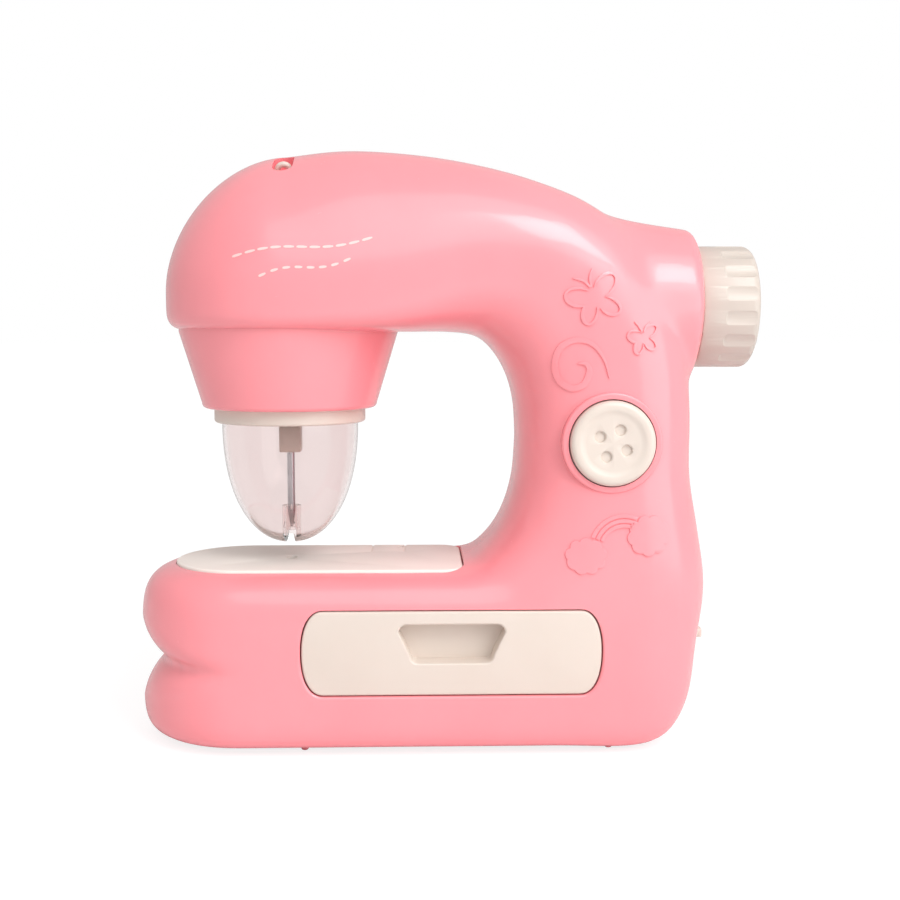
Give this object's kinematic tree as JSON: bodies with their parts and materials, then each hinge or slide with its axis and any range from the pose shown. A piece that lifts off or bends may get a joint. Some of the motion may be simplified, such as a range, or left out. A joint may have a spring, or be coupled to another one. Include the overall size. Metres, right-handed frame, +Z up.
{
  "type": "toy sewing machine",
  "caption": "Pretend-play sewing machine: rounded two-half body with a drawer in its base, a push button, a fluted handwheel, and a needle moving inside a clear guard.",
  "frame": {"origin": "middle of the bounding box on the table plane, under the feet", "axes": "+X from the needle end towards the handwheel, -Y towards the child who uses it, +Z up"},
  "size_m": [0.2308, 0.0908, 0.22],
  "materials": {
    "pink_body": "moulded pink plastic, satin gloss",
    "ivory_plastic": "moulded ivory plastic, satin",
    "clear_plastic": "clear moulded plastic",
    "clamp_plastic": "beige plastic",
    "white_plastic": "white machine plastic",
    "bright_steel": "plain steel",
    "bush_brass": "sintered brass",
    "board_green": "printed circuit board",
    "black_plastic": "black plastic",
    "cell_wrap": "wrapped cell",
    "lamp_plastic": "milky lamp body"
  },
  "bodies": {
    "frame": {"front_shell": "pink_body", "rear_shell": "pink_body", "needle_cup": "pink_body", "trim_ring": "ivory_plastic", "needle_guard": "clear_plastic", "lamp": "lamp_plastic", "bed_plate": "ivory_plastic", "thread_guide": "ivory_plastic", "left_bush": "bush_brass", "right_bush": "bush_brass", "motor": "bright_steel", "button_spring": "bright_steel", "circuit_board": "board_green", "push_switch": "black_plastic", "speaker": "black_plastic", "switch_block": "black_plastic", "battery_cells": "cell_wrap", "battery_contacts": "bright_steel", "battery_door": "pink_body", "door_screw": "bright_steel", "case_screws": "bright_steel"},
    "drivetrain": {"handwheel": "ivory_plastic", "main_shaft": "bright_steel", "drive_gear": "white_plastic", "crank_disc": "white_plastic"},
    "motor_rotor": {"motor_pinion": "white_plastic"},
    "needle_unit": {"needle_bar": "white_plastic", "needle_clamp": "clamp_plastic", "needle": "bright_steel"},
    "drawer_box": {"drawer": "ivory_plastic"},
    "button": {"start_button": "ivory_plastic"},
    "power_knob": {"power_switch": "ivory_plastic"}
  },
  "joints": [
    {"name": "handwheel_turn", "type": "hinge", "parent": "frame", "child": "drivetrain", "pos_m": [0.094, 0, 0.1625], "axis": [1, 0, 0], "continuous": true},
    {"name": "motor_spin", "type": "hinge", "parent": "frame", "child": "motor_rotor", "pos_m": [0.05, 0, 0.1433], "axis": [1, 0, 0], "continuous": true},
    {"name": "needle_stroke", "type": "slide", "parent": "frame", "child": "needle_unit", "axis": [0, 0, 1], "range_m": [-0.004, 0.006]},
    {"name": "drawer_pull", "type": "slide", "parent": "frame", "child": "drawer_box", "axis": [0, -1, 0], "range_m": [0, 0.045]},
    {"name": "button_press", "type": "slide", "parent": "frame", "child": "button", "axis": [0, 1, 0], "range_m": [0, 0.0022], "stiffness_N_per_m": 300, "deforming": ["button_spring"]},
    {"name": "power_slide", "type": "slide", "parent": "frame", "child": "power_knob", "axis": [0, 1, 0], "range_m": [0, 0.004]}
  ],
  "couplings": [
    {"joint": "motor_spin", "follows": "handwheel_turn", "ratio": -3}
  ]
}
